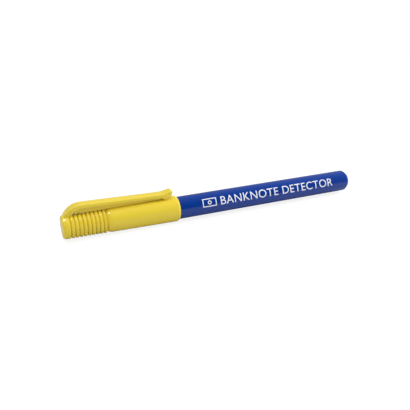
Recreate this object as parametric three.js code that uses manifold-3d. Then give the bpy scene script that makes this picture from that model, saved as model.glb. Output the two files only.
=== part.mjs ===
// Counterfeit detector pen: a capped marker with a fibre nib fed by a reservoir of iodine ink.
// Millimetres, +Z up. The pen lies along X, cap at -X, with its pocket clip on top.
// The origin is on the surface that the pen lies on, under the middle of its length.
import * as THREE from "three";
import { mergeVertices } from "three/addons/utils/BufferGeometryUtils.js";
import Module from "manifold-3d";

const wasm = await Module();
wasm.setup();

// Every "_AT" and "_END" below is a distance along the axis from the closed end of the cap.

// Whole pen
const PEN_LENGTH = 140;
const SEGMENTS = 24; // sides of each turned piece
const FIT_GAP = 0.3; // clearance between pieces that are pressed together

// Cap
const CAP_LENGTH = 50;
const CAP_CROWN_RADIUS = 5.1; // outside, at the closed end
const CAP_MOUTH_RADIUS = 5.75; // outside, at the open end: the widest place on the pen
const CAP_CROWN_THICKNESS = 1.4;
const CAP_CORNER = 0.6; // rounding of the closed end
const CAP_MOUTH_CHAMFER = 1;
const CAP_LIP_RADIUS = 5.45; // outside, at the very end of the chamfer
const CAP_UPPER_BORE_RADIUS = 3.95;
const CAP_LOWER_BORE_RADIUS = 4.75;
const CAP_MOUTH_BORE_RADIUS = 5.2; // swallows the front edge of the barrel
const CAP_BORE_STEP_AT = 20.5;
const CAP_MOUTH_BORE_AT = 46.8;

// Grip grooves round the cap
const GROOVE_COUNT = 10;
const GROOVE_PITCH = 1.66;
const GROOVE_WIDTH = 0.8;
const GROOVE_DEPTH = 0.5;
const FIRST_GROOVE_AT = 3.2;
const NECK_DEPTH = 0.8; // the last groove is deeper, and ends in a rounded shoulder
const SHOULDER_LENGTH = 2;
const ARC_STEPS = 5;

// Pocket clip
const CLIP_WIDTH = 4.7;
const CLIP_RIB_WIDTH = 1.6; // stiffening rib under the clip
const CLIP_RIB_GAP = 0.5; // from the rib to the cap
const CLIP_RIB_AT = 8.5;
const CLIP_RIB_END = 43;
const CLIP_FOOT_DEPTH = 0.15; // from the cap's bore up to the foot of the clip's root
const CLIP_ROOT_TOP = 5.9; // height above the axis at which the clip springs from its root
const CLIP_PAD_AT = 44.6; // middle of the pad that presses on the cap
const CLIP_TIP_AT = 48.2;

// Barrel and rear plug
const BARREL_RADIUS = 5;
const BARREL_START_AT = 48.4;
const BARREL_END = 139.2;
const BARREL_BORE_RADIUS = 4.15;
const BARREL_RIM_ROUNDING = 1.2;
const BARREL_FRONT_CHAMFER = 0.3;
const PLUG_HEAD_RADIUS = 4.15;
const PLUG_HEAD_LENGTH = 1.5;
const PLUG_FACE_RADIUS = 3.3;
const PLUG_STEM_LENGTH = 4.3;
const PLUG_WALL = 0.95;

// Nib, its section and the ink store
const NIB_RADIUS = 1.8;
const NIB_TIP_AT = 26.6;
const NIB_END = 60.5;
const SECTION_NOSE_AT = 31.6;
const SECTION_NOSE_RADIUS = 2.6;
const SEAL_LAND_RADIUS = 3.3;
const SEAL_LAND_AT = 34;
const SEAL_LAND_END = 38.3;
const GRIP_RADIUS = 4;
const CAP_SEAT_RADIUS = 4.5;
const GRIP_AT = 39;
const GRIP_END = 40;
const CAP_SEAT_AT = 41;
const SNAP_BEAD_AT = 43;
const SNAP_BEAD_HEIGHT = 0.16;
const SNAP_BEAD_HALF_WIDTH = 0.6;
const SPIGOT_END = 53.9;
const RESERVOIR_RADIUS = 3.4;
const RESERVOIR_AT = 54.5;
const RESERVOIR_END = 133.7;
const FILM_GAP = 0.1;
const FILM_WALL = 0.2;

// Seal liner pressed into the cap
const LINER_AT = 20.9;
const LINER_END = 38;
const LINER_WALL = 0.85;
const LINER_LIP_RADIUS = 3.4;
const LINER_LIP_LENGTH = 1.6;

const plastic = { roughness: 0.35, metalness: 0 };
const materials = {
  cap: new THREE.MeshStandardMaterial({ color: 0xecd44c, ...plastic }),
  barrel: new THREE.MeshStandardMaterial({ color: 0x0f3a90, ...plastic }),
  liner: new THREE.MeshStandardMaterial({ color: 0xe9e6dc, roughness: 0.45 }),
  nib: new THREE.MeshStandardMaterial({ color: 0xa8712c, roughness: 0.9 }),
  reservoir: new THREE.MeshStandardMaterial({ color: 0x8a5a22, roughness: 1 }),
  film: new THREE.MeshStandardMaterial({ color: 0xf2efe6, roughness: 0.2 }),
};

// Outside radius of the cap, which widens evenly towards its mouth.
function capRadius(along) {
  return THREE.MathUtils.lerp(CAP_CROWN_RADIUS, CAP_MOUTH_RADIUS, along / CAP_LENGTH);
}

// A body of revolution about the pen's axis, from points of [distance along, radius].
// The outside runs from the cap end to the far end, and a bore comes back.
// Its corners lie on the true circle, and one of them faces straight down.
function turned(profile) {
  const points = profile.map(([along, radius]) => new THREE.Vector2(radius, along));
  return new THREE.LatheGeometry(points, SEGMENTS).rotateZ(-Math.PI / 2);
}

// Points on an arc of an ellipse in the [along, radius] plane, angles in quarter turns.
function arc(centre, alongRadius, acrossRadius, from, to) {
  return Array.from({ length: ARC_STEPS + 1 }, (_, step) => {
    const angle = (THREE.MathUtils.lerp(from, to, step / ARC_STEPS) * Math.PI) / 2;
    return [centre[0] + alongRadius * Math.cos(angle), centre[1] + acrossRadius * Math.sin(angle)];
  });
}

// A side view drawn as [along, height] points, extruded to a width centred on the axis.
function extruded(outline, width) {
  const shape = new THREE.Shape(outline.map(([along, height]) => new THREE.Vector2(along, height)));
  const geometry = new THREE.ExtrudeGeometry(shape, { depth: width, bevelEnabled: false });
  return geometry.translate(0, 0, -width / 2).rotateX(Math.PI / 2);
}

function toSolid(geometry) {
  const bare = geometry.clone();
  bare.deleteAttribute("normal");
  bare.deleteAttribute("uv");
  const merged = mergeVertices(bare, 1e-4);
  const vertProperties = merged.attributes.position.array;
  const triVerts = new Uint32Array(merged.index.array);
  return new wasm.Manifold(new wasm.Mesh({ numProp: 3, vertProperties, triVerts }));
}

function toGeometry(solid) {
  const { vertProperties, triVerts } = solid.getMesh();
  const geometry = new THREE.BufferGeometry();
  geometry.setAttribute("position", new THREE.BufferAttribute(vertProperties, 3));
  geometry.setIndex(new THREE.BufferAttribute(triVerts, 1));
  geometry.computeVertexNormals();
  return geometry;
}

function joined(first, second) {
  return toGeometry(toSolid(first).add(toSolid(second)));
}

function grooves() {
  const points = [];
  for (let groove = 0; groove < GROOVE_COUNT - 1; groove += 1) {
    const along = FIRST_GROOVE_AT + groove * GROOVE_PITCH;
    points.push([along - GROOVE_WIDTH / 2, capRadius(along)]);
    points.push([along, capRadius(along) - GROOVE_DEPTH]);
    points.push([along + GROOVE_WIDTH / 2, capRadius(along)]);
  }
  return points;
}

// The deep last groove and the rounded shoulder that follows it.
function neckAndShoulder() {
  const neckAt = FIRST_GROOVE_AT + (GROOVE_COUNT - 1) * GROOVE_PITCH;
  const neckRadius = capRadius(neckAt) - NECK_DEPTH;
  const shoulderEnd = neckAt + SHOULDER_LENGTH;
  const rise = capRadius(shoulderEnd) - neckRadius;
  return [
    [neckAt - GROOVE_WIDTH / 2, capRadius(neckAt)],
    ...arc([shoulderEnd, neckRadius], SHOULDER_LENGTH, rise, 2, 1),
  ];
}

// The outer outline of the clip's root and arch, from the cap's closed end upwards.
function clipArch() {
  const arch = new THREE.SplineCurve([
    new THREE.Vector2(0.6, 4.3),
    new THREE.Vector2(2.1, 6.5),
    new THREE.Vector2(3.7, 7.8),
    new THREE.Vector2(5.4, 8.75),
    new THREE.Vector2(8.3, 9.2),
  ]);
  return arch.getPoints(4 * ARC_STEPS).map((point) => [point.x, point.y]);
}

// The block on the cap from which the clip springs. Its foot is inside the cap's wall.
function clipRoot() {
  const foot = CAP_UPPER_BORE_RADIUS + CLIP_FOOT_DEPTH;
  const outline = [
    ...clipArch().filter(([, height]) => height < CLIP_ROOT_TOP),
    [1.75, CLIP_ROOT_TOP],
    [4.6, CLIP_ROOT_TOP],
    [4.3, 4.4],
    [1.6, foot],
  ];
  return extruded(outline, CLIP_WIDTH);
}

function capShell() {
  const profile = [
    [0, 0],
    ...arc([CAP_CORNER, CAP_CROWN_RADIUS - CAP_CORNER], CAP_CORNER, CAP_CORNER, 2, 1),
    ...grooves(),
    ...neckAndShoulder(),
    [CAP_LENGTH - CAP_MOUTH_CHAMFER, CAP_MOUTH_RADIUS],
    [CAP_LENGTH, CAP_LIP_RADIUS],
    [CAP_LENGTH, CAP_MOUTH_BORE_RADIUS],
    [CAP_MOUTH_BORE_AT, CAP_MOUTH_BORE_RADIUS],
    [CAP_MOUTH_BORE_AT, CAP_LOWER_BORE_RADIUS],
    [CAP_BORE_STEP_AT, CAP_LOWER_BORE_RADIUS],
    [CAP_BORE_STEP_AT, CAP_UPPER_BORE_RADIUS],
    [CAP_CROWN_THICKNESS, CAP_UPPER_BORE_RADIUS],
    [CAP_CROWN_THICKNESS, 0],
  ];
  return joined(turned(profile), clipRoot());
}

function pocketClip() {
  const springsAt = CLIP_ROOT_TOP + FIT_GAP;
  const padBottom = capRadius(CLIP_PAD_AT) + FIT_GAP;
  const bar = [
    ...clipArch().filter(([, height]) => height > springsAt),
    [42.4, 8.3],
    [46, 8.8],
    [47.6, 8.8],
    [CLIP_TIP_AT, 8.3],
    [CLIP_TIP_AT, 7.6],
    [CLIP_PAD_AT + 1, padBottom],
    [CLIP_PAD_AT - 1, padBottom],
    [42, 6.75],
    [8.3, 7.25],
    [6, 6.9],
    [5, springsAt],
    [2.05, springsAt],
  ];
  const rib = [
    [7, 7.6],
    [CLIP_RIB_END, 7],
    [CLIP_RIB_END, capRadius(CLIP_RIB_END) + CLIP_RIB_GAP],
    [CLIP_RIB_AT, capRadius(CLIP_RIB_AT) + CLIP_RIB_GAP],
    [5.6, 6.6],
  ];
  return joined(extruded(bar, CLIP_WIDTH), extruded(rib, CLIP_RIB_WIDTH));
}

function capLiner() {
  const outer = CAP_LOWER_BORE_RADIUS - FIT_GAP;
  const inner = outer - LINER_WALL;
  return turned([
    [LINER_AT, 0],
    [LINER_AT, outer],
    [LINER_END, outer],
    [LINER_END, LINER_LIP_RADIUS],
    [LINER_END - LINER_LIP_LENGTH, LINER_LIP_RADIUS],
    [LINER_END - LINER_LIP_LENGTH, inner],
    [LINER_AT + LINER_WALL, inner],
    [LINER_AT + LINER_WALL, 0],
  ]);
}

function barrelTube() {
  const counterbore = PLUG_HEAD_RADIUS + FIT_GAP;
  const headStart = PEN_LENGTH - PLUG_HEAD_LENGTH - FIT_GAP;
  const rim = [BARREL_END - BARREL_RIM_ROUNDING, BARREL_RADIUS - BARREL_RIM_ROUNDING];
  const rounding = arc(rim, BARREL_RIM_ROUNDING, BARREL_RIM_ROUNDING, 1, 0);
  const profile = [
    [BARREL_START_AT, BARREL_RADIUS - BARREL_FRONT_CHAMFER],
    [BARREL_START_AT + BARREL_FRONT_CHAMFER, BARREL_RADIUS],
    ...rounding.filter(([, radius]) => radius > counterbore),
    [BARREL_END, counterbore],
    [headStart, counterbore],
    [headStart, BARREL_BORE_RADIUS],
    [BARREL_START_AT, BARREL_BORE_RADIUS],
  ];
  return turned([...profile, profile[0]]);
}

function endPlug() {
  const stemRadius = BARREL_BORE_RADIUS - FIT_GAP;
  const headStart = PEN_LENGTH - PLUG_HEAD_LENGTH;
  const stemStart = headStart - PLUG_STEM_LENGTH;
  const edge = PLUG_HEAD_RADIUS - PLUG_FACE_RADIUS;
  return turned([
    [headStart, 0],
    [headStart, stemRadius - PLUG_WALL],
    [stemStart, stemRadius - PLUG_WALL],
    [stemStart, stemRadius],
    [headStart, stemRadius],
    [headStart, PLUG_HEAD_RADIUS],
    ...arc([PEN_LENGTH - edge, PLUG_FACE_RADIUS], edge, edge, 1, 0),
    [PEN_LENGTH, 0],
  ]);
}

function gripSection() {
  const bore = NIB_RADIUS + FIT_GAP;
  const spigotRadius = BARREL_BORE_RADIUS - FIT_GAP;
  const seatEnd = BARREL_START_AT - FIT_GAP;
  const profile = [
    [SECTION_NOSE_AT, SECTION_NOSE_RADIUS],
    [SEAL_LAND_AT, SEAL_LAND_RADIUS],
    [SEAL_LAND_END, SEAL_LAND_RADIUS],
    [GRIP_AT, GRIP_RADIUS],
    [GRIP_END, GRIP_RADIUS],
    [CAP_SEAT_AT, CAP_SEAT_RADIUS],
    [SNAP_BEAD_AT - SNAP_BEAD_HALF_WIDTH, CAP_SEAT_RADIUS],
    [SNAP_BEAD_AT, CAP_SEAT_RADIUS + SNAP_BEAD_HEIGHT],
    [SNAP_BEAD_AT + SNAP_BEAD_HALF_WIDTH, CAP_SEAT_RADIUS],
    [seatEnd, CAP_SEAT_RADIUS],
    [seatEnd, spigotRadius],
    [SPIGOT_END, spigotRadius],
    [SPIGOT_END, bore],
    [SECTION_NOSE_AT, bore],
  ];
  return turned([...profile, profile[0]]);
}

function nib() {
  const bullet = arc([NIB_TIP_AT + 3, 0], 3, NIB_RADIUS, 2, 1);
  return turned([...bullet, [NIB_END, NIB_RADIUS], [NIB_END, 0]]);
}

// A bonded polyester core, with a socket at its front for the tail of the nib.
function inkReservoir() {
  const socketRadius = NIB_RADIUS + FIT_GAP;
  const socketEnd = NIB_END + FIT_GAP;
  return turned([
    [socketEnd, 0],
    [socketEnd, socketRadius],
    [RESERVOIR_AT, socketRadius],
    [RESERVOIR_AT, RESERVOIR_RADIUS],
    [RESERVOIR_END, RESERVOIR_RADIUS],
    [RESERVOIR_END, 0],
  ]);
}

function reservoirFilm() {
  const inner = RESERVOIR_RADIUS + FILM_GAP;
  const outer = inner + FILM_WALL;
  return turned([
    [RESERVOIR_AT, inner],
    [RESERVOIR_AT, outer],
    [RESERVOIR_END, outer],
    [RESERVOIR_END, inner],
    [RESERVOIR_AT, inner],
  ]);
}

function piece(name, geometry, material) {
  const mesh = new THREE.Mesh(geometry, material);
  mesh.name = name;
  return mesh;
}

const pen = new THREE.Group();
pen.position.set(-PEN_LENGTH / 2, 0, CAP_MOUTH_RADIUS);
pen.add(
  piece("cap_shell", capShell(), materials.cap),
  piece("pocket_clip", pocketClip(), materials.cap),
  piece("cap_liner", capLiner(), materials.liner),
  piece("barrel_tube", barrelTube(), materials.barrel),
  piece("end_plug", endPlug(), materials.barrel),
  piece("grip_section", gripSection(), materials.barrel),
  piece("nib", nib(), materials.nib),
  piece("ink_reservoir", inkReservoir(), materials.reservoir),
  piece("reservoir_film", reservoirFilm(), materials.film),
);

const model = new THREE.Group();
model.add(pen);

export default model;
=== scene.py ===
"""A capped counterfeit detector pen, built as an add-on round the pen's CAD frame."""

import math

import bmesh
import bpy
from bpy.props import FloatProperty, FloatVectorProperty, IntProperty, PointerProperty, StringProperty
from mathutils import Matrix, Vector


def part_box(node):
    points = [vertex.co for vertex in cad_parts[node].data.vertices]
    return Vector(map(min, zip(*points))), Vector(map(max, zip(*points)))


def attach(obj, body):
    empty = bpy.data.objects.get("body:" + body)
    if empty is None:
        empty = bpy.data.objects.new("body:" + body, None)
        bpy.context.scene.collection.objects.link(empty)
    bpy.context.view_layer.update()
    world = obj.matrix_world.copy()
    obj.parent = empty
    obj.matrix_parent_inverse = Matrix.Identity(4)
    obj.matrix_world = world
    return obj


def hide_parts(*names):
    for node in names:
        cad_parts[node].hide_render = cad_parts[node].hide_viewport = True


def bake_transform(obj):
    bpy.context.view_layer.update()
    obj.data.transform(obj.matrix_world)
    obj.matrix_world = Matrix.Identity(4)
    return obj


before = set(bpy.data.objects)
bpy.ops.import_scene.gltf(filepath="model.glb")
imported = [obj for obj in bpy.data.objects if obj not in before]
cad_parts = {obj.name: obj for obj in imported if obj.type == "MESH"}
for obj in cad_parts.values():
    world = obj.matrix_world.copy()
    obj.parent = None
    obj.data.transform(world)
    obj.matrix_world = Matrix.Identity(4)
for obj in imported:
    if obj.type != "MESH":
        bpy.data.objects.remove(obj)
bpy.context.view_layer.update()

bl_info = {
    "name": "Counterfeit Detector Pen",
    "version": (1, 0, 0),
    "blender": (4, 5, 0),
    "location": "View3D > Sidebar > Pen",
    "description": "Builds a capped banknote detector pen round its CAD frame",
    "category": "Add Mesh",
}

MM = 0.001

# Places that every piece shares, read from the frame.
CAP_LOW, CAP_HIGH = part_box("cap_shell")
BARREL_LOW, BARREL_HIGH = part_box("barrel_tube")
PLUG_LOW, PLUG_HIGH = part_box("end_plug")
SECTION_LOW, SECTION_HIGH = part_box("grip_section")
NIB_LOW, NIB_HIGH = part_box("nib")
LINER_LOW, LINER_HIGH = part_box("cap_liner")
CLIP_LOW, CLIP_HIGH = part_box("pocket_clip")
CLOSED_END = CAP_LOW.x
AXIS_HEIGHT = (BARREL_LOW.z + BARREL_HIGH.z) / 2


def along_mm(x):
    """Distance of a place on the pen from the closed end of the cap, in millimetres."""
    return (x - CLOSED_END) / MM


def radius_mm(low, high):
    """Radius of a turned CAD piece, in millimetres."""
    return (high.y - low.y) / 2 / MM


def linear(hex_colour):
    """The linear colour of an sRGB hex value."""
    channels = [int(hex_colour[i:i + 2], 16) / 255 for i in (1, 3, 5)]
    return tuple(c / 12.92 if c <= 0.04045 else ((c + 0.055) / 1.055) ** 2.4 for c in channels)


def colour_property(name, description, hex_colour):
    """A colour that the user can change, from an sRGB hex value."""
    return FloatVectorProperty(name=name, description=description, subtype="COLOR", size=3,
                               min=0, max=1, default=linear(hex_colour))


def length_property(name, description, millimetres):
    """A length that the user can change, from a value in millimetres."""
    return FloatProperty(name=name, description=description, unit="LENGTH", precision=5,
                         min=0, default=millimetres * MM)


class CapSettings(bpy.types.PropertyGroup):
    """Sizes and colour of the cap."""
    colour: colour_property("Colour", "Colour of the cap and its clip", "#E6CD3A")
    crown_radius: length_property("Crown radius", "Outside radius at the closed end", 5.1)
    mouth_radius: length_property("Mouth radius", "Outside radius at the open end",
                                  radius_mm(CAP_LOW, CAP_HIGH))
    corner: length_property("Corner", "Rounding of the closed end", 0.8)
    first_groove: length_property("First groove", "Distance from the closed end", 3.2)
    groove_pitch: length_property("Groove pitch", "Distance from groove to groove", 1.66)
    groove_depth: length_property("Groove depth", "Depth of each grip groove", 0.7)
    groove_floor: FloatProperty(name="Groove floor", description="Share of the pitch that is groove floor",
                                subtype="FACTOR", min=0, max=0.9, default=0.16)
    groove_count: IntProperty(name="Grooves", description="Number of grip grooves", min=1, default=10)
    neck_depth: length_property("Neck depth", "Depth of the last groove, before the shoulder", 0.95)
    lip: length_property("Lip", "Length of the bevelled lip at the mouth", 1.1)


class ClipSettings(bpy.types.PropertyGroup):
    """Sizes of the pocket clip."""
    width: length_property("Width", "Width of the bar", (CLIP_HIGH.y - CLIP_LOW.y) / MM)
    edge: length_property("Edge", "Rounding of the bar's long edges", 0.22)
    rib_width: length_property("Rib width", "Width of the rib under the bar", 2.1)
    rib_gap: length_property("Rib gap", "Gap from the rib to the cap", 0.12)


class BarrelSettings(bpy.types.PropertyGroup):
    """Sizes and colours of the barrel and what is in it."""
    colour: colour_property("Colour", "Colour of the barrel, plug and section", "#02358C")
    radius: length_property("Radius", "Outside radius of the barrel", radius_mm(BARREL_LOW, BARREL_HIGH))
    rim_rounding: length_property("Rim rounding", "Rounding of the rear rim", 1.2)
    nib_colour: colour_property("Nib colour", "Fibre stained by iodine ink", "#A9712B")
    liner_colour: colour_property("Liner colour", "Natural polyethylene", "#E8E4D8")


class PrintSettings(bpy.types.PropertyGroup):
    """The white print on the barrel."""
    colour: colour_property("Colour", "Colour of the printing ink", "#F2F3F6")
    words: StringProperty(name="Words", description="Plain words that say what the pen is",
                          default="BANKNOTE DETECTOR")
    start: length_property("Start", "Distance from the closed end", 60.5)
    length: length_property("Length", "Length of the whole print", 69)
    letter_height: length_property("Letter height", "Height of a capital", 3.8)
    thickness: length_property("Thickness", "Thickness of the ink, drawn thicker than real", 0.02)


class StageSettings(bpy.types.PropertyGroup):
    """Camera and light."""
    azimuth: FloatProperty(name="Azimuth", description="Camera direction round the pen",
                           unit="ROTATION", default=math.radians(-23.4))
    elevation: FloatProperty(name="Elevation", description="Camera angle above the floor",
                             unit="ROTATION", default=math.radians(23.2))
    distance: length_property("Distance", "Camera to the point that it looks at", 230.5)
    aim: length_property("Aim", "Distance of that point from the closed end", 63.5)
    drop: length_property("Drop", "Distance of that point below the pen's axis", 0.8)
    lens: FloatProperty(name="Lens", description="Focal length in millimetres", default=44.8)


# ---------------------------------------------------------------- nodes

def add(tree, kind, inputs=None, **settings):
    """Adds a node with its settings. An input is a value, another node's first output or a socket."""
    node = tree.nodes.new(kind)
    for key, value in settings.items():
        setattr(node, key, value)
    for key, value in (inputs or {}).items():
        if isinstance(value, bpy.types.Node):
            value = value.outputs[0]
        if isinstance(value, bpy.types.NodeSocket):
            tree.links.new(value, node.inputs[key])
        else:
            node.inputs[key].default_value = value
    return node


def geometry_tree(name, sockets):
    """An empty geometry tree with named inputs, and its group input node."""
    tree = bpy.data.node_groups.new(name, "GeometryNodeTree")
    tree.is_modifier = True
    tree.interface.new_socket(name="Geometry", in_out="OUTPUT", socket_type="NodeSocketGeometry")
    for label, kind in sockets.items():
        tree.interface.new_socket(name=label, in_out="INPUT", socket_type=kind)
    return tree, add(tree, "NodeGroupInput")


def finish_tree(tree, geometry, material):
    """Ends a tree with real geometry that carries its material."""
    realized = add(tree, "GeometryNodeRealizeInstances", {"Geometry": geometry})
    dressed = add(tree, "GeometryNodeSetMaterial", {"Geometry": realized, "Material": material})
    add(tree, "NodeGroupOutput", {"Geometry": dressed})
    return tree


def turning_tree():
    """Turns an outline of (radius, along) points round the pen's axis and cuts the grip grooves."""
    if "Turned piece" in bpy.data.node_groups:
        return bpy.data.node_groups["Turned piece"]
    number, count = "NodeSocketFloat", "NodeSocketInt"
    # The exponent of the ribs' curve, which would be 2 for an ellipse.
    squareness = 2.6
    tree, group = geometry_tree("Turned piece", {
        "Geometry": "NodeSocketGeometry", "Segments": count, "Rail radius": number,
        "Closed end": number, "Axis height": number, "First groove": number,
        "Groove pitch": number, "Groove count": count, "Groove depth": number,
        "Groove floor": number, "Material": "NodeSocketMaterial",
    })
    put = group.outputs
    split = add(tree, "ShaderNodeSeparateXYZ", {0: add(tree, "GeometryNodeInputPosition")})
    # How far a point is up the side of a rib, 0 being the floor of a groove and 1 the rib's crest.
    from_first = add(tree, "ShaderNodeMath", {0: split.outputs["Y"], 1: put["First groove"]},
                     operation="SUBTRACT")
    turns = add(tree, "ShaderNodeMath", {0: from_first, 1: put["Groove pitch"]}, operation="DIVIDE")
    nearest = add(tree, "ShaderNodeMath", {0: turns}, operation="ROUND")
    last = add(tree, "ShaderNodeMath", {0: put["Groove count"], 1: 1}, operation="SUBTRACT")
    limited = add(tree, "ShaderNodeClamp", {"Value": nearest, "Min": 0.0, "Max": last})
    away = add(tree, "ShaderNodeMath", {0: turns, 1: limited}, operation="SUBTRACT")
    doubled = add(tree, "ShaderNodeMath", {0: away, 1: 2}, operation="MULTIPLY")
    size = add(tree, "ShaderNodeMath", {0: doubled}, operation="ABSOLUTE")
    share = add(tree, "ShaderNodeMapRange", {"Value": size, "From Min": put["Groove floor"],
                                             "From Max": 1.0})
    # Each half of a rib is a quarter of a superellipse: a steep side and a gently rounded top.
    inverse = add(tree, "ShaderNodeMath", {0: 1.0, 1: share}, operation="SUBTRACT")
    raised = add(tree, "ShaderNodeMath", {0: inverse, 1: squareness}, operation="POWER")
    under = add(tree, "ShaderNodeMath", {0: 1.0, 1: raised}, operation="SUBTRACT")
    crown = add(tree, "ShaderNodeMath", {0: under, 1: 1 / squareness}, operation="POWER")
    hollow = add(tree, "ShaderNodeMath", {0: 1.0, 1: crown}, operation="SUBTRACT")
    deep = add(tree, "ShaderNodeMath", {0: hollow, 1: put["Groove depth"]}, operation="MULTIPLY")
    grooved = add(tree, "GeometryNodeInputNamedAttribute", {"Name": "grooved"}, data_type="FLOAT")
    cut = add(tree, "ShaderNodeMath", {0: deep, 1: grooved}, operation="MULTIPLY")
    inset = add(tree, "ShaderNodeMath", {0: cut, 1: put["Rail radius"]}, operation="ADD")
    offset = add(tree, "ShaderNodeMath", {0: inset, 1: -1}, operation="MULTIPLY")
    shift = add(tree, "ShaderNodeCombineXYZ", {"X": offset})
    outline = add(tree, "GeometryNodeSetPosition", {"Geometry": put["Geometry"], "Offset": shift})
    profile = add(tree, "GeometryNodeMeshToCurve", {"Mesh": outline})
    rail = add(tree, "GeometryNodeCurvePrimitiveCircle",
               {"Resolution": put["Segments"], "Radius": put["Rail radius"]}, mode="RADIUS")
    swept = add(tree, "GeometryNodeCurveToMesh", {"Curve": rail, "Profile Curve": profile})
    place = add(tree, "ShaderNodeCombineXYZ", {"X": put["Closed end"], "Z": put["Axis height"]})
    placed = add(tree, "GeometryNodeTransform", {"Geometry": swept, "Translation": place,
                                                 "Rotation": (0, -math.pi / 2, 0)})
    closed = add(tree, "GeometryNodeMergeByDistance", {"Geometry": placed, "Distance": 0.001 * MM})
    return finish_tree(tree, closed, put["Material"])


def wrapping_tree():
    """Gives flat print a thickness and wraps it round the barrel."""
    if "Wrapped print" in bpy.data.node_groups:
        return bpy.data.node_groups["Wrapped print"]
    number = "NodeSocketFloat"
    tree, group = geometry_tree("Wrapped print", {
        "Geometry": "NodeSocketGeometry", "Start": number, "Radius": number, "Thickness": number,
        "Facing": number, "Axis height": number, "Material": "NodeSocketMaterial",
    })
    put = group.outputs
    raised = add(tree, "GeometryNodeExtrudeMesh", {"Mesh": put["Geometry"], "Individual": False,
                                                   "Offset Scale": put["Thickness"]})
    under = add(tree, "GeometryNodeFlipFaces", {"Mesh": put["Geometry"]})
    both = add(tree, "GeometryNodeJoinGeometry", {"Geometry": raised})
    tree.links.new(under.outputs[0], both.inputs["Geometry"])
    closed = add(tree, "GeometryNodeMergeByDistance", {"Geometry": both, "Distance": 0.001 * MM})
    split = add(tree, "ShaderNodeSeparateXYZ", {0: add(tree, "GeometryNodeInputPosition")})
    lifted = add(tree, "ShaderNodeMath", {0: split.outputs["Z"], 1: put["Radius"]}, operation="ADD")
    bend = add(tree, "ShaderNodeMath", {0: split.outputs["Y"], 1: put["Radius"]}, operation="DIVIDE")
    angle = add(tree, "ShaderNodeMath", {0: put["Facing"], 1: bend}, operation="SUBTRACT")
    sine = add(tree, "ShaderNodeMath", {0: angle}, operation="SINE")
    cosine = add(tree, "ShaderNodeMath", {0: angle}, operation="COSINE")
    side = add(tree, "ShaderNodeMath", {0: lifted, 1: sine}, operation="MULTIPLY")
    front = add(tree, "ShaderNodeMath", {0: side, 1: -1}, operation="MULTIPLY")
    rise = add(tree, "ShaderNodeMath", {0: lifted, 1: cosine}, operation="MULTIPLY")
    height = add(tree, "ShaderNodeMath", {0: rise, 1: put["Axis height"]}, operation="ADD")
    x = add(tree, "ShaderNodeMath", {0: split.outputs["X"], 1: put["Start"]}, operation="ADD")
    spot = add(tree, "ShaderNodeCombineXYZ", {"X": x, "Y": front, "Z": height})
    wrapped = add(tree, "GeometryNodeSetPosition", {"Geometry": closed, "Position": spot})
    return finish_tree(tree, wrapped, put["Material"])


# ---------------------------------------------------------------- meshes

def new_object(name, vertices, edges=(), faces=()):
    """A mesh object at the origin, in the scene."""
    mesh = bpy.data.meshes.new(name)
    mesh.from_pydata(vertices, edges, faces)
    piece = bpy.data.objects.new(name, mesh)
    bpy.context.scene.collection.objects.link(piece)
    return piece


def through_tree(piece, tree, values):
    """Runs a piece's mesh through a geometry tree and keeps the plain mesh that comes out."""
    modifier = piece.modifiers.new(tree.name, "NODES")
    modifier.node_group = tree
    sockets = {item.name: item.identifier for item in tree.interface.items_tree if item.in_out == "INPUT"}
    for label, value in values.items():
        modifier[sockets[label]] = value
    piece.update_tag()
    graph = bpy.context.evaluated_depsgraph_get()
    made = bpy.data.meshes.new_from_object(piece.evaluated_get(graph))
    piece.modifiers.remove(modifier)
    piece.data = made
    made.name = piece.name
    return piece


def face_outwards(mesh, sharp_degrees=40):
    """Merges doubles, turns every face outwards and marks the edges that stay sharp."""
    form = bmesh.new()
    form.from_mesh(mesh)
    bmesh.ops.remove_doubles(form, verts=form.verts, dist=0.0005 * MM)
    bmesh.ops.recalc_face_normals(form, faces=form.faces)
    limit = math.radians(sharp_degrees)
    for edge in form.edges:
        edge.smooth = edge.calc_face_angle(0.0) < limit
    for face in form.faces:
        face.smooth = True
    form.to_mesh(mesh)
    form.free()


def dress(piece, material):
    """Gives a piece one material in place of any that it has."""
    piece.data.materials.clear()
    piece.data.materials.append(material)
    return piece


def fillet(before, corner, after, rounding, steps):
    """Points on the arc that rounds a corner of an outline."""
    inward, outward = (before - corner).normalized(), (after - corner).normalized()
    half = inward.angle(outward) / 2
    centre = corner + (inward + outward).normalized() * rounding / math.sin(half)
    reach = rounding / math.tan(half)
    first, last = corner + inward * reach - centre, corner + outward * reach - centre
    turn = first.angle_signed(last)
    start = math.atan2(first.y, first.x)
    return [centre + rounding * Vector((math.cos(start - turn * k / steps),
                                        math.sin(start - turn * k / steps)))
            for k in range(steps + 1)]


def rounded(corners, steps=6):
    """An outline from (along, radius, rounding) corners in millimetres."""
    points = [Vector(corner[:2]) for corner in corners]
    outline = []
    for i, corner in enumerate(corners):
        if corner[2] and 0 < i < len(corners) - 1:
            outline += fillet(points[i - 1], points[i], points[i + 1], corner[2], steps)
        else:
            outline.append(points[i])
    return outline


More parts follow.
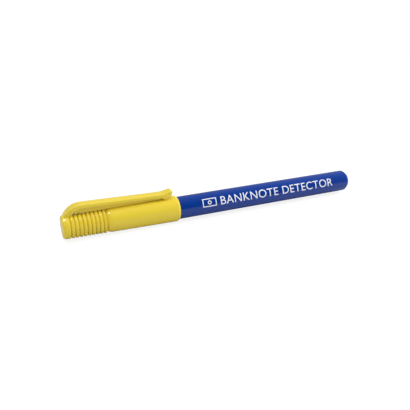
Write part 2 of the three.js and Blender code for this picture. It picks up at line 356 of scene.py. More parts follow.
def turned(name, outline, material, segments=128, loop=False, grooved=(), **grooves):
    """A closed body turned from an outline of (along, radius) points in millimetres."""
    vertices = [(radius * MM, along * MM, 0) for along, radius in outline]
    edges = [(i, i + 1) for i in range(len(vertices) - 1)]
    if loop:
        edges.append((len(vertices) - 1, 0))
    piece = new_object(name, vertices, edges)
    marks = piece.data.attributes.new("grooved", "FLOAT", "POINT")
    marks.data.foreach_set("value", [1.0 if i in grooved else 0.0 for i in range(len(vertices))])
    values = {"Segments": segments, "Rail radius": 1 * MM, "Closed end": CLOSED_END,
              "Axis height": AXIS_HEIGHT, "Material": material, "First groove": 0.0,
              "Groove pitch": 1.0, "Groove count": 1, "Groove depth": 0.0, "Groove floor": 0.0, **grooves}
    through_tree(piece, turning_tree(), values)
    face_outwards(piece.data)
    return dress(piece, material)


# ---------------------------------------------------------------- materials

def surface(name):
    """A new material: its tree, its shader and its object coordinates."""
    material = bpy.data.materials.new(name)
    material.use_nodes = True
    tree = material.node_tree
    return material, tree, tree.nodes["Principled BSDF"], add(tree, "ShaderNodeTexCoord")


def noise_scale(millimetres):
    """The scale of a noise whose features are this wide."""
    return 1 / (millimetres * MM)


def moulded_polypropylene(name, colour, gloss, grain_mm, glow):
    """Injection-moulded polypropylene: waxy satin gloss, with soft flow streaks along the moulding
    where the melt ran, a fine spark-eroded grain and faint handling marks that dull the shine."""
    material, tree, shader, place = surface(name)
    streak_space = add(tree, "ShaderNodeMapping", {"Vector": place.outputs["Object"],
                                                   "Scale": (0.06, 1, 1)})
    streaks = add(tree, "ShaderNodeTexNoise", {"Vector": streak_space, "Scale": noise_scale(1.6),
                                               "Detail": 3.0, "Roughness": 0.55})
    clouds = add(tree, "ShaderNodeTexNoise", {"Vector": place.outputs["Object"], "Scale": noise_scale(9),
                                              "Detail": 2.0})
    blend = add(tree, "ShaderNodeMath", {0: streaks, 1: clouds}, operation="ADD")
    half = add(tree, "ShaderNodeMath", {0: blend, 1: 0.5}, operation="MULTIPLY")
    darker = tuple(c * 0.965 for c in colour) + (1,)
    lighter = tuple(min(1, c * 1.03) for c in colour) + (1,)
    tone = add(tree, "ShaderNodeMix", {"Factor": half, "A": darker, "B": lighter}, data_type="RGBA")
    tree.links.new(tone.outputs["Result"], shader.inputs["Base Color"])
    # Fingers polish some places and leave a dull film on others.
    handling = add(tree, "ShaderNodeTexNoise", {"Vector": place.outputs["Object"],
                                                "Scale": noise_scale(4), "Detail": 5.0})
    shine = add(tree, "ShaderNodeMapRange", {"Value": handling, "From Min": 0.3, "From Max": 0.7,
                                             "To Min": gloss - 0.02, "To Max": gloss + 0.03})
    tree.links.new(shine.outputs["Result"], shader.inputs["Roughness"])
    # The real grain is about 0.02 mm; it is drawn coarser so that it shows.
    grain = add(tree, "ShaderNodeTexNoise", {"Vector": place.outputs["Object"],
                                             "Scale": noise_scale(grain_mm), "Detail": 2.0})
    fine = add(tree, "ShaderNodeBump", {"Height": grain, "Strength": 0.1, "Distance": 0.004 * MM})
    sink = add(tree, "ShaderNodeBump", {"Height": streaks, "Strength": 0.2, "Distance": 0.006 * MM,
                                        "Normal": fine})
    tree.links.new(sink.outputs["Normal"], shader.inputs["Normal"])
    shader.inputs["IOR"].default_value = 1.49
    shader.inputs["Subsurface Weight"].default_value = glow
    shader.inputs["Subsurface Radius"].default_value = (1.0, 0.7, 0.35)
    shader.inputs["Subsurface Scale"].default_value = 0.6 * MM
    return material


def natural_polyethylene(colour):
    """Unpigmented low-density polyethylene, moulded: milky, waxy and a little cloudy."""
    material, tree, shader, place = surface("Natural polyethylene")
    clouds = add(tree, "ShaderNodeTexNoise", {"Vector": place.outputs["Object"], "Scale": noise_scale(3),
                                              "Detail": 3.0})
    thin = tuple(c * 0.88 for c in colour) + (1,)
    tone = add(tree, "ShaderNodeMix", {"Factor": clouds, "A": thin, "B": colour + (1,)}, data_type="RGBA")
    tree.links.new(tone.outputs["Result"], shader.inputs["Base Color"])
    dull = add(tree, "ShaderNodeMapRange", {"Value": clouds, "To Min": 0.4, "To Max": 0.55})
    tree.links.new(dull.outputs["Result"], shader.inputs["Roughness"])
    shader.inputs["Subsurface Weight"].default_value = 0.4
    shader.inputs["Subsurface Scale"].default_value = 0.8 * MM
    shader.inputs["IOR"].default_value = 1.51
    return material


def stained_fibre(name, colour, strand_mm):
    """Bonded polyester fibre soaked in iodine ink: matt, streaked along the strands, and darker
    where the ink gathers."""
    material, tree, shader, place = surface(name)
    strand_space = add(tree, "ShaderNodeMapping", {"Vector": place.outputs["Object"],
                                                   "Scale": (0.05, 1, 1)})
    strands = add(tree, "ShaderNodeTexNoise", {"Vector": strand_space, "Scale": noise_scale(strand_mm),
                                               "Detail": 4.0, "Roughness": 0.7})
    pools = add(tree, "ShaderNodeTexNoise", {"Vector": place.outputs["Object"], "Scale": noise_scale(1.5),
                                             "Detail": 2.0})
    soaked = tuple(c * 0.35 for c in colour) + (1,)
    pale = tuple(min(1, c * 1.5) for c in colour) + (1,)
    streaked = add(tree, "ShaderNodeMix", {"Factor": strands, "A": soaked, "B": pale}, data_type="RGBA")
    pooled = add(tree, "ShaderNodeMix", {"Factor": pools, "A": colour + (1,),
                                         "B": streaked.outputs["Result"]}, data_type="RGBA")
    tree.links.new(pooled.outputs["Result"], shader.inputs["Base Color"])
    bump = add(tree, "ShaderNodeBump", {"Height": strands, "Strength": 0.6, "Distance": 0.04 * MM})
    tree.links.new(bump.outputs["Normal"], shader.inputs["Normal"])
    shader.inputs["Roughness"].default_value = 0.85
    shader.inputs["Sheen Weight"].default_value = 0.15
    return material


def clear_film():
    """Extruded polypropylene film: thin, clear and glossy, with faint draw lines along it."""
    material, tree, shader, place = surface("Clear film")
    line_space = add(tree, "ShaderNodeMapping", {"Vector": place.outputs["Object"], "Scale": (0.02, 1, 1)})
    lines = add(tree, "ShaderNodeTexNoise", {"Vector": line_space, "Scale": noise_scale(0.5),
                                             "Detail": 2.0})
    shine = add(tree, "ShaderNodeMapRange", {"Value": lines, "To Min": 0.08, "To Max": 0.2})
    tree.links.new(shine.outputs["Result"], shader.inputs["Roughness"])
    shader.inputs["Base Color"].default_value = linear("#F4F1E8") + (1,)
    shader.inputs["Transmission Weight"].default_value = 0.85
    shader.inputs["IOR"].default_value = 1.49
    return material


def printing_ink(colour):
    """Screen-printed ink on plastic: nearly opaque, slightly uneven in cover, satin."""
    material, tree, shader, place = surface("White printing ink")
    cover = add(tree, "ShaderNodeTexNoise", {"Vector": place.outputs["Object"], "Scale": noise_scale(0.5),
                                             "Detail": 4.0})
    thin = tuple(c * 0.82 for c in colour[:2]) + (colour[2] * 0.9, 1)
    spread = add(tree, "ShaderNodeMapRange", {"Value": cover, "From Min": 0.3, "From Max": 0.6})
    tone = add(tree, "ShaderNodeMix", {"Factor": spread.outputs["Result"], "A": thin, "B": colour + (1,)},
               data_type="RGBA")
    tree.links.new(tone.outputs["Result"], shader.inputs["Base Color"])
    dull = add(tree, "ShaderNodeMapRange", {"Value": cover, "To Min": 0.4, "To Max": 0.55})
    tree.links.new(dull.outputs["Result"], shader.inputs["Roughness"])
    return material


def pale_board():
    """White painted board for the floor: matt, with a very faint roller texture. Seen directly it
    glows and is darker in itself, so it looks white with a faint shadow; the pen sees a light grey."""
    material, tree, shader, place = surface("White painted board")
    glow = 0.85
    roller = add(tree, "ShaderNodeTexNoise", {"Vector": place.outputs["Object"], "Scale": noise_scale(2),
                                              "Detail": 3.0})
    tone = add(tree, "ShaderNodeMix", {"Factor": roller, "A": linear("#CFCFCF") + (1,),
                                       "B": linear("#D3D3D3") + (1,)}, data_type="RGBA")
    ray = add(tree, "ShaderNodeLightPath")
    shown = add(tree, "ShaderNodeMix", {"Factor": ray.outputs["Is Camera Ray"], "A": tone.outputs["Result"],
                                        "B": linear("#808080") + (1,)}, data_type="RGBA")
    tree.links.new(shown.outputs["Result"], shader.inputs["Base Color"])
    shader.inputs["Roughness"].default_value = 0.8
    shader.inputs["Specular IOR Level"].default_value = 0.0
    shader.inputs["Emission Color"].default_value = (1, 1, 1, 1)
    glowing = add(tree, "ShaderNodeMath", {0: ray.outputs["Is Camera Ray"], 1: glow}, operation="MULTIPLY")
    tree.links.new(glowing.outputs["Value"], shader.inputs["Emission Strength"])
    return material


def cap_plastic():
    """The cap's and clip's plastic, made once."""
    colour = tuple(bpy.context.scene.pen_cap.colour)
    name = "Yellow moulded polypropylene"
    return bpy.data.materials.get(name) or moulded_polypropylene(
        name, colour, gloss=0.24, grain_mm=0.25, glow=0.06)


def barrel_plastic():
    """The barrel's and plug's plastic, made once."""
    colour = tuple(bpy.context.scene.pen_barrel.colour)
    name = "Blue moulded polypropylene"
    return bpy.data.materials.get(name) or moulded_polypropylene(
        name, colour, gloss=0.16, grain_mm=0.25, glow=0.0)


def section_plastic():
    """The grip section's plastic, finer in grain and duller than the barrel's."""
    colour = tuple(bpy.context.scene.pen_barrel.colour)
    name = "Blue grained polypropylene"
    return bpy.data.materials.get(name) or moulded_polypropylene(
        name, colour, gloss=0.42, grain_mm=0.15, glow=0.03)


# ---------------------------------------------------------------- shapes of the cap and clip

def cap_radius_mm(along):
    """Outside radius of the cap, which widens evenly towards its mouth."""
    cap = bpy.context.scene.pen_cap
    share = along / along_mm(CAP_HIGH.x)
    return (cap.crown_radius + (cap.mouth_radius - cap.crown_radius) * share) / MM


def crown_outline(collar_end, ribs_start):
    """The cap's closed end: a flat crown, a rounded corner and a slightly coned collar."""
    corner = bpy.context.scene.pen_cap.corner / MM
    collar = cap_radius_mm(collar_end)
    # A shallow dimple in the crown, where the melt entered.
    cone, dimple = 0.32, 0.15
    return rounded([(dimple, 0, 0), (dimple, 0.7, 0.2), (0, 1.0, 0.3), (0, collar - cone, corner),
                    (collar_end, collar, 1.2), (ribs_start, cap_radius_mm(ribs_start), 0)])


def rib_outline(start, end):
    """Close points along the ribs, for the grip grooves to be cut in."""
    step = 0.06
    places = [start + i * step for i in range(1, math.ceil((end - start) / step))]
    return [Vector((along, cap_radius_mm(along))) for along in places]


def neck_outline(neck, wall, shoulder):
    """The last groove, which is the deepest, and the round shoulder that rises out of it."""
    radius = cap_radius_mm(neck) - bpy.context.scene.pen_cap.neck_depth / MM
    rise = cap_radius_mm(neck + shoulder) - radius
    groove = rounded([(wall, cap_radius_mm(neck) - 0.05, 0), (neck - 0.32, radius, 0.15),
                      (neck, radius, 0)])
    curve = [Vector((neck + shoulder * (1 - math.cos(a)), radius + rise * math.sin(a)))
             for a in (math.radians(d) for d in range(6, 90, 6))]
    return groove + curve


def mouth_outline(start):
    """The cap's smooth skirt, the bevelled lip at its mouth and the bore back to the crown."""
    mouth = along_mm(CAP_HIGH.x)
    lip = mouth - bpy.context.scene.pen_cap.lip / MM
    # The bore steps in twice on its way up: round the barrel, the snap bead and the liner.
    barrel_bore, bead_bore, liner_bore = 5.15, 4.75, 3.95
    barrel_bore_end, bead_bore_end, crown_inside = 46.8, 20.5, 1.4
    return rounded([
        (start, cap_radius_mm(start), 0), (lip - 0.14, cap_radius_mm(lip), 0.04),
        (lip - 0.04, cap_radius_mm(lip) - 0.12, 0.04), (lip + 0.08, cap_radius_mm(mouth) - 0.03, 0.06),
        (mouth - 0.05, cap_radius_mm(mouth) - 0.57, 0.02), (mouth, barrel_bore, 0.01),
        (barrel_bore_end, barrel_bore, 0.1), (barrel_bore_end, bead_bore, 0.1),
        (bead_bore_end, bead_bore, 0.1), (bead_bore_end, liner_bore, 0.1),
        (crown_inside, liner_bore, 0.4), (crown_inside, 0, 0)])


def cap_outline():
    """The cap's outline from the middle of its crown round to the end of its bore, and the places
    in it that the grip grooves are cut in."""
    cap = bpy.context.scene.pen_cap
    first, pitch = cap.first_groove / MM, cap.groove_pitch / MM
    neck, shoulder = first + (cap.groove_count - 1) * pitch, 2.4
    ribs_start, last_rib = first - pitch / 2, neck - pitch / 2
    crown = crown_outline(first - pitch, ribs_start)
    # The ribs stop just inside the last groove, which has a shape of its own.
    ribs = rib_outline(ribs_start, last_rib + 0.28)
    outline = crown + ribs + neck_outline(neck, last_rib + 0.3, shoulder) + mouth_outline(neck + shoulder)
    return outline, range(len(crown), len(crown) + len(ribs))


def smooth_line(points, steps):
    """A smooth line through (x, y) points, with the same number of steps between each pair."""
    line = []
    for i in range(len(points) - 1):
        p = [Vector(points[max(0, min(len(points) - 1, i + k))]) for k in (-1, 0, 1, 2)]
        for k in range(steps):
            t = k / steps
            line.append(0.5 * (2 * p[1] + (p[2] - p[0]) * t
                               + (2 * p[0] - 5 * p[1] + 4 * p[2] - p[3]) * t * t
                               + (3 * p[1] - p[0] - 3 * p[2] + p[3]) * t ** 3))
    return line + [Vector(points[-1])]


# The clip seen from the side, as (along, height above the axis) in millimetres. The upper and
# lower lines have the same number of points, so that each pair makes one section of the bar.
CLIP_UPPER = [(0.75, 3.9), (0.8, 4.6), (1.3, 5.6), (2.15, 6.55), (3.6, 7.75), (5.2, 8.6), (6.8, 9.04),
              (9.2, 9.18), (20, 8.9), (32, 8.52), (40, 8.32), (42.8, 8.3), (44.4, 8.5), (45.8, 8.83),
              (46.8, 9.0), (47.4, 9.02)]
CLIP_LOWER = [(4.7, 3.95), (4.4, 4.7), (4.4, 5.3), (4.65, 5.85), (5.25, 6.5), (6.2, 7.1), (7.5, 7.5),
              (9.6, 7.66), (20, 7.46), (32, 7.16), (40, 6.86), (42.5, 6.55), (43.7, 5.98), (44.9, 5.96),
              (46.2, 6.6), (47.1, 7.6)]


def clip_section(half_width, thickness, edge, stem_half, stem):
    """One section of the clip as (across, height) points: a bar with rounded edges and a rib below."""
    lower_edge, stem_root, stem_edge = edge * 0.8, 0.04, 0.12
    corners = [(half_width, 0, lower_edge), (half_width, thickness, edge),
               (-half_width, thickness, edge), (-half_width, 0, lower_edge),
               (-stem_half, 0, stem_root), (-stem_half, -stem, stem_edge),
               (stem_half, -stem, stem_edge), (stem_half, 0, stem_root)]
    points = [Vector(corner[:2]) for corner in corners]
    outline = []
    for i, corner in enumerate(corners):
        before, after = points[i - 1], points[(i + 1) % len(points)]
        # A rounding uses less than half of a short side, so that it never meets the next one.
        reach = 0.45 * min((before - points[i]).length, (after - points[i]).length)
        outline += fillet(before, points[i], after, min(corner[2], reach), 4)
    return outline


def clip_mesh(name):
    """The pocket clip, lofted through sections along its side view."""
    clip = bpy.context.scene.pen_clip
    upper, lower = smooth_line(CLIP_UPPER, 8), smooth_line(CLIP_LOWER, 8)
    vertices, rings = [], []
    tip = CLIP_UPPER[-1][0]
    # The arch's height above the axis, its rise to there, and how far it reaches along the cap.
    arch_top, arch_rise, arch_length = 7.2, 2.5, 8
    # How much narrower each side is at the root and at the tip, and where the tip begins.
    root_pinch, tip_pinch, tip_length, tip_squareness = 0.7, 0.4, 1.3, 2.5
    # Where the rib starts and ends along the cap, and the lengths over which it grows and fades.
    rib_start, rib_growth, rib_end, rib_fade, least_rib = 4.3, 0.8, 43.6, 1.2, 0.05
    for top, bottom in zip(upper, lower):
        middle = (top + bottom) / 2
        lift = (top - bottom).normalized()
        # The arch narrows down to its root, and the tip is rounded off in plan.
        narrow = min(1.0, max(0.0, (arch_top - middle.y) / arch_rise)) if middle.x < arch_length else 0.0
        end = max(0.0, 1 - (tip - middle.x) / tip_length)
        half = clip.width / MM / 2 - root_pinch * narrow - tip_pinch * end ** tip_squareness
        fade = min(1.0, max(0.0, (bottom.x - rib_start) / rib_growth))
        fade *= min(1.0, max(0.0, (rib_end - middle.x) / rib_fade))
        reach = max(0.0, bottom.y - cap_radius_mm(bottom.x) - clip.rib_gap / MM)
        section = clip_section(half, (top - bottom).length, clip.edge / MM, clip.rib_width / MM / 2,
                               least_rib + fade * reach)
        ring = []
        for across, height in section:
            spot = bottom + lift * height
            ring.append(len(vertices))
            vertices.append((CLOSED_END + spot.x * MM, across * MM, AXIS_HEIGHT + spot.y * MM))
        rings.append(ring)
    faces = [(a[k], b[k], b[(k + 1) % len(b)], a[(k + 1) % len(a)])
             for a, b in zip(rings, rings[1:]) for k in range(len(a))]
    faces += [tuple(rings[0]), tuple(rings[-1])]
    return new_object(name, vertices, (), faces)


# ---------------------------------------------------------------- the print

def loop_band(form, outer, inner):
    """Faces between two closed loops of the same number of points."""
    rings = [[form.verts.new((x, y, 0)) for x, y in loop] for loop in (outer, inner)]
    for k in range(len(outer)):
        n = (k + 1) % len(outer)
        form.faces.new((rings[0][k], rings[0][n], rings[1][n], rings[1][k]))


def circle(centre_x, centre_y, radius, steps=24):
    """Points round a circle."""
    return [(centre_x + radius * math.cos(a), centre_y + radius * math.sin(a))
            for a in (2 * math.pi * k / steps for k in range(steps))]


def note_sign(form, x, width, height, stroke):
    """A plain banknote sign: a framed sheet with a ring in the middle."""
    def frame_loop(inset):
        w, h = width / 2 - inset, height / 2 - inset
        return [(x + width / 2 + sx * w, sy * h) for sx, sy in ((1, 1), (-1, 1), (-1, -1), (1, -1))]
    loop_band(form, frame_loop(0), frame_loop(stroke))
    ring = height * 0.24
    loop_band(form, circle(x + width / 2, 0, ring), circle(x + width / 2, 0, ring - stroke))


def print_mesh(name):
    """Flat print: x along the pen, y up the letters."""
    ink = bpy.context.scene.pen_print
    height, length = ink.letter_height / MM, ink.length / MM
    text = bpy.data.curves.new(name + "_text", "FONT")
    text.body = ink.words
    text.resolution_u = 6
    text.space_character = 1.05
    carrier = bpy.data.objects.new(name + "_text", text)
    bpy.context.scene.collection.objects.link(carrier)
    graph = bpy.context.evaluated_depsgraph_get()
    letters = bpy.data.meshes.new_from_object(carrier.evaluated_get(graph))
    bpy.data.objects.remove(carrier)
    form = bmesh.new()
    form.from_mesh(letters)
    low = Vector([min(v.co[i] for v in form.verts) for i in range(3)])
    high = Vector([max(v.co[i] for v in form.verts) for i in range(3)])
    sign_width, gap, stroke = height * 1.75, height * 0.55, height * 0.11
    words_width = length - sign_width - gap
    for v in form.verts:
        v.co.x = sign_width + gap + (v.co.x - low.x) / (high.x - low.x) * words_width
        v.co.y = ((v.co.y - low.y) / (high.y - low.y) - 0.5) * height
    note_sign(form, 0, sign_width, height, stroke)
    # Cut into strips along the pen, so that the letters can bend round the barrel.
    slices = 18
    for k in range(1, slices):
        plane = -height / 2 + height * k / slices
        bmesh.ops.bisect_plane(form, geom=form.verts[:] + form.edges[:] + form.faces[:],
                               plane_co=(0, plane, 0), plane_no=(0, 1, 0), dist=1e-5)
    bmesh.ops.recalc_face_normals(form, faces=form.faces)
    for face in form.faces:
        if face.normal.z < 0:
            face.normal_flip()
    bmesh.ops.scale(form, vec=(MM, MM, MM), verts=form.verts)
    piece = new_object(name, [])
    form.to_mesh(piece.data)
    form.free()
    bpy.data.meshes.remove(letters)
    return piece


# ---------------------------------------------------------------- operators

class MakeCap(bpy.types.Operator):
    """Turns the ribbed cap shell"""
    bl_idname = "pen.make_cap"
    bl_label = "Cap"

    def execute(self, context):
        cap = context.scene.pen_cap
        outline, grooved = cap_outline()
        piece = turned("cap_body", outline, cap_plastic(), segments=144, grooved=grooved,
                       **{"First groove": cap.first_groove, "Groove pitch": cap.groove_pitch,
                          "Groove count": cap.groove_count, "Groove depth": cap.groove_depth,
                          "Groove floor": cap.groove_floor})
        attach(piece, "cap")
        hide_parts("cap_shell")
        return {"FINISHED"}


class MakeClip(bpy.types.Operator):
    """Lofts the pocket clip along its side view"""
    bl_idname = "pen.make_clip"
    bl_label = "Pocket clip"

    def execute(self, context):
        piece = clip_mesh("clip_bar")
        face_outwards(piece.data, 50)
        dress(piece, cap_plastic())
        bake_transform(piece)
        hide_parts("pocket_clip")
        return {"FINISHED"}


class MakeLiner(bpy.types.Operator):
    """Turns the seal liner inside the cap"""
    bl_idname = "pen.make_liner"
    bl_label = "Seal liner"

    def execute(self, context):
        start, end = along_mm(LINER_LOW.x), along_mm(LINER_HIGH.x)
        outer = radius_mm(LINER_LOW, LINER_HIGH) + 0.2
        lip, bore, inside = 3.4, 3.6, start + 0.85
        outline = rounded([(start, 0, 0), (start, outer, 0.3), (end, outer, 0.2), (end, lip, 0.15),
                           (end - 1.6, lip, 0.2), (end - 2.2, bore, 0.3), (inside, bore, 0.4),
                           (inside, 0, 0)])
        colour = tuple(context.scene.pen_barrel.liner_colour)
        piece = turned("liner_cup", outline, natural_polyethylene(colour), segments=96)
        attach(piece, "seal_liner")
        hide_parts("cap_liner")
        return {"FINISHED"}


class MakeBarrel(bpy.types.Operator):
    """Turns the barrel with its rounded rear rim"""
    bl_idname = "pen.make_barrel"
    bl_label = "Barrel"

    def execute(self, context):
        barrel = context.scene.pen_barrel
        start, end = along_mm(BARREL_LOW.x), along_mm(BARREL_HIGH.x)
        radius, rounding = barrel.radius / MM, barrel.rim_rounding / MM
        # The bore, and the seat in its rear end that takes the plug's head.
        bore, seat, head = 4.1, end - 0.9, radius_mm(PLUG_LOW, PLUG_HIGH) + 0.08
        arc = [Vector((end - rounding + rounding * math.sin(a), radius - rounding + rounding * math.cos(a)))
               for a in (math.radians(d) for d in range(0, 64, 4))]
        arc = [p for p in arc if p.y > head + 0.06]
        front = rounded([(start, bore + 0.1, 0), (start, radius, 0.25), (arc[0].x, radius, 0)])
        back = rounded([(arc[-1].x, arc[-1].y, 0), (end - 0.02, head, 0.05), (seat, head, 0.1),
                        (seat, bore, 0.1), (start, bore, 0), (start, bore + 0.1, 0)])
        piece = turned("barrel_body", front[:-1] + arc + back[1:-1], barrel_plastic(), loop=True)
        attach(piece, "barrel")
        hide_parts("barrel_tube")
        return {"FINISHED"}


class MakePlug(bpy.types.Operator):
    """Turns the plug in the rear of the barrel"""
    bl_idname = "pen.make_plug"
    bl_label = "Rear plug"

    def execute(self, context):
        start, end = along_mm(PLUG_LOW.x), along_mm(PLUG_HIGH.x)
        radius = radius_mm(PLUG_LOW, PLUG_HIGH)
        # A shallow dished ring round a flat button, where the moulding was gated.
        shank, hollow = 3.95, 2.9
        outline = rounded([(start + 4.3, 0, 0), (start + 4.3, hollow, 0.3), (start, hollow, 0.15),
                           (start, shank, 0.3), (end - 1.5, shank, 0.1), (end - 1.5, radius, 0.1),
                           (end, radius, 0.75), (end, 1.7, 0.15), (end - 0.12, 1.45, 0.15),
                           (end - 0.12, 0, 0)])
        piece = turned("plug_body", outline, barrel_plastic(), segments=96)
        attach(piece, "barrel")
        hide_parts("end_plug")
        return {"FINISHED"}


class MakeSection(bpy.types.Operator):
    """Turns the grip section that holds the nib and the cap's snap bead"""
    bl_idname = "pen.make_section"
    bl_label = "Grip section"

    def execute(self, context):
        start, end = along_mm(SECTION_LOW.x), along_mm(SECTION_HIGH.x)
        bore = radius_mm(NIB_LOW, NIB_HIGH) + 0.08
        outline = rounded([
            (start, bore, 0), (start, 2.6, 0.3), (34, 3.3, 0.5), (38.3, 3.3, 0.2), (39, 4.0, 0.3),
            (40, 4.0, 0.2), (41, 4.5, 0.3), (42.3, 4.5, 0.2), (43, 4.66, 0.5), (43.7, 4.5, 0.2),
            (47.9, 4.5, 0.15), (47.9, 4.05, 0.1), (end, 4.05, 0.3), (end, bore, 0)])
        piece = turned("section_body", outline, section_plastic(), segments=96, loop=True)
        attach(piece, "barrel")
        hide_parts("grip_section")
        return {"FINISHED"}


class MakeNib(bpy.types.Operator):
    """Turns the bullet nib"""
    bl_idname = "pen.make_nib"
    bl_label = "Nib"

    def execute(self, context):
        start, end = along_mm(NIB_LOW.x), along_mm(NIB_HIGH.x)
        radius = radius_mm(NIB_LOW, NIB_HIGH)
        length = 3.0
        bullet = [Vector((start + length * (1 - math.cos(a)), radius * math.sin(a)))
                  for a in (math.radians(d) for d in range(0, 91, 5))]
        tail = rounded([(start + length, radius, 0), (end, radius, 0.3), (end, 0, 0)])
        colour = tuple(context.scene.pen_barrel.nib_colour)
        piece = turned("nib_fibre", bullet + tail[1:], stained_fibre("Stained nib fibre", colour, 0.12),
                       segments=64)
        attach(piece, "barrel")
        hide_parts("nib")
        return {"FINISHED"}


class DressInkStore(bpy.types.Operator):
    """Gives the fibre reservoir and its film their materials"""
    bl_idname = "pen.dress_ink_store"
    bl_label = "Ink store"

    def execute(self, context):
        core = stained_fibre("Soaked sliver fibre", linear("#7A4A1C"), 0.3)
        for node, material in (("ink_reservoir", core), ("reservoir_film", clear_film())):
            dress(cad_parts[node], material)
        return {"FINISHED"}


class MakePrint(bpy.types.Operator):
    """Wraps the white print round the barrel"""
    bl_idname = "pen.make_print"
    bl_label = "Print"

    def execute(self, context):
        ink, stage = context.scene.pen_print, context.scene.pen_stage
        # The print is centred on the side of the barrel that faces the front.
        facing = math.atan2(math.cos(stage.azimuth) * math.cos(stage.elevation), math.sin(stage.elevation))
        material = printing_ink(tuple(ink.colour))
        piece = through_tree(print_mesh("barrel_print"), wrapping_tree(), {
            "Start": CLOSED_END + ink.start, "Radius": context.scene.pen_barrel.radius,
            "Thickness": ink.thickness, "Facing": facing, "Axis height": AXIS_HEIGHT, "Material": material})
        face_outwards(piece.data, 30)
        dress(piece, material)
        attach(piece, "barrel")
        return {"FINISHED"}


class MakeStage(bpy.types.Operator):
    """Lays the floor, sets the soft light and places the camera"""
    bl_idname = "pen.make_stage"
    bl_label = "Stage"

    def execute(self, context):
        lay_floor()
        light_room(context.scene)
        place_camera(context.scene)
        return {"FINISHED"}


# ---------------------------------------------------------------- stage

def lay_floor():
    """A flat floor, wide enough to fill every view."""
    reach = 4.0
    floor = new_object("floor", [(-reach, -reach, 0), (reach, -reach, 0), (reach, reach, 0),
                                 (-reach, reach, 0)], (), [(0, 1, 2, 3)])
    dress(floor, pale_board())


def towards(azimuth, elevation):
    """The direction from the pen to a place at this angle round it and above the floor."""
    return Vector((math.sin(azimuth) * math.cos(elevation), -math.cos(azimuth) * math.cos(elevation),
                   math.sin(elevation)))


def soft_light(name, place, aim, size, watts, glint=False):
    """A square softbox that faces a point. A glint shows in the gloss and lights nothing; any other
    softbox lights the plain surfaces and doesn't show in the gloss."""
    lamp = bpy.data.lights.new(name, "AREA")
    lamp.shape = "SQUARE"
    lamp.size = size
    lamp.energy = watts
    holder = bpy.data.objects.new(name, lamp)
    holder.location = place
    holder.visible_glossy = glint
    holder.visible_diffuse = not glint
    holder.rotation_euler = (aim - Vector(place)).to_track_quat("-Z", "Y").to_euler()
    bpy.context.scene.collection.objects.link(holder)


def light_room(scene):
    """Sets three softboxes and a sky: white to the camera, even to plain surfaces and, to the gloss,
    dark in front of the pen."""
    world = bpy.data.worlds.new("Studio")
    scene.world = world
    world.use_nodes = True
    # A sky that is sampled as a lamp can't tell gloss from a plain surface; a ray that leaves the
    # surface can.
    world.cycles.sampling_method = "NONE"
    tree = world.node_tree
    tree.nodes.clear()
    stage = scene.pen_stage
    dark_height, brightest_gloss, plain_light = math.radians(25), 0.58, 0.88
    front = towards(stage.azimuth, dark_height)
    direction = add(tree, "ShaderNodeTexCoord")
    facing = add(tree, "ShaderNodeVectorMath", {0: direction.outputs["Generated"], 1: front},
                 operation="DOT_PRODUCT")
    # What the gloss shows: a room that is dark in front of the pen and brighter behind it.
    shown = add(tree, "ShaderNodeMapRange", {"Value": facing.outputs["Value"], "From Min": 0.0,
                                             "From Max": 0.8, "To Min": brightest_gloss,
                                             "To Max": 0.0})
    ray = add(tree, "ShaderNodeLightPath")
    strength = add(tree, "ShaderNodeMix", {"Factor": ray.outputs["Is Glossy Ray"], "A": plain_light,
                                           "B": shown.outputs["Result"]})
    lit = add(tree, "ShaderNodeBackground", {"Strength": strength.outputs["Result"]})
    seen = add(tree, "ShaderNodeBackground", {"Color": (1, 1, 1, 1), "Strength": 1.0})
    mixed = add(tree, "ShaderNodeMixShader", {0: ray.outputs["Is Camera Ray"], 1: lit, 2: seen})
    add(tree, "ShaderNodeOutputWorld", {"Surface": mixed})
    centre = Vector((0, 0, AXIS_HEIGHT))
    soft_light("key", (-0.1, -0.1, 0.62), centre, size=0.5, watts=1.5)
    soft_light("side", (0.5, -0.02, 0.22), centre, size=0.25, watts=2.0)
    soft_light("glint", (-0.214, 0.022, 0.587), centre, size=0.2, watts=1.8, glint=True)
    scene.view_settings.view_transform = "Standard"


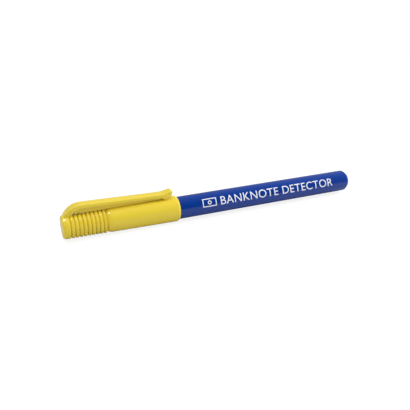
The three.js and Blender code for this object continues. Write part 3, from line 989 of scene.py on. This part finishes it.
def place_camera(scene):
    """Sets the camera in front of the pen, a little to the left and above."""
    stage = scene.pen_stage
    back = towards(stage.azimuth, stage.elevation)
    up = back.cross(Vector((math.cos(stage.azimuth), math.sin(stage.azimuth), 0)))
    aim = Vector((CLOSED_END + stage.aim, 0, AXIS_HEIGHT)) - up * stage.drop
    lens = bpy.data.cameras.new("camera")
    lens.lens = stage.lens
    lens.sensor_width = 36
    lens.clip_start = 0.01
    lens.clip_end = 20
    camera = bpy.data.objects.new("camera", lens)
    camera.location = aim + back * stage.distance
    camera.rotation_euler = (-back).to_track_quat("-Z", "Y").to_euler()
    scene.collection.objects.link(camera)
    scene.camera = camera


# ---------------------------------------------------------------- add-on

OPERATORS = (MakeCap, MakeClip, MakeLiner, MakeBarrel, MakePlug, MakeSection, MakeNib, DressInkStore,
             MakePrint, MakeStage)
SETTINGS = {"pen_cap": CapSettings, "pen_clip": ClipSettings, "pen_barrel": BarrelSettings,
            "pen_print": PrintSettings, "pen_stage": StageSettings}


class PenPanel(bpy.types.Panel):
    """Lists the pen's pieces"""
    bl_idname = "VIEW3D_PT_detector_pen"
    bl_label = "Detector pen"
    bl_space_type = "VIEW_3D"
    bl_region_type = "UI"
    bl_category = "Pen"

    def draw(self, context):
        for name in SETTINGS:
            box = self.layout.box()
            for key in getattr(context.scene, name).bl_rna.properties.keys():
                if key not in {"rna_type", "name"}:
                    box.prop(getattr(context.scene, name), key)
        for operator in OPERATORS:
            self.layout.operator(operator.bl_idname)


def register():
    """Registers the classes and hangs the settings on the scene."""
    for kind in (*SETTINGS.values(), *OPERATORS, PenPanel):
        bpy.utils.register_class(kind)
    for name, kind in SETTINGS.items():
        setattr(bpy.types.Scene, name, PointerProperty(type=kind))


def unregister():
    """Takes away what register() added."""
    for name in SETTINGS:
        delattr(bpy.types.Scene, name)
    for kind in reversed((*SETTINGS.values(), *OPERATORS, PenPanel)):
        bpy.utils.unregister_class(kind)


def main():
    """Makes every piece and the stage."""
    register()
    for operator in OPERATORS:
        module, name = operator.bl_idname.split(".")
        getattr(getattr(bpy.ops, module), name)()


if __name__ == "__main__":
    main()
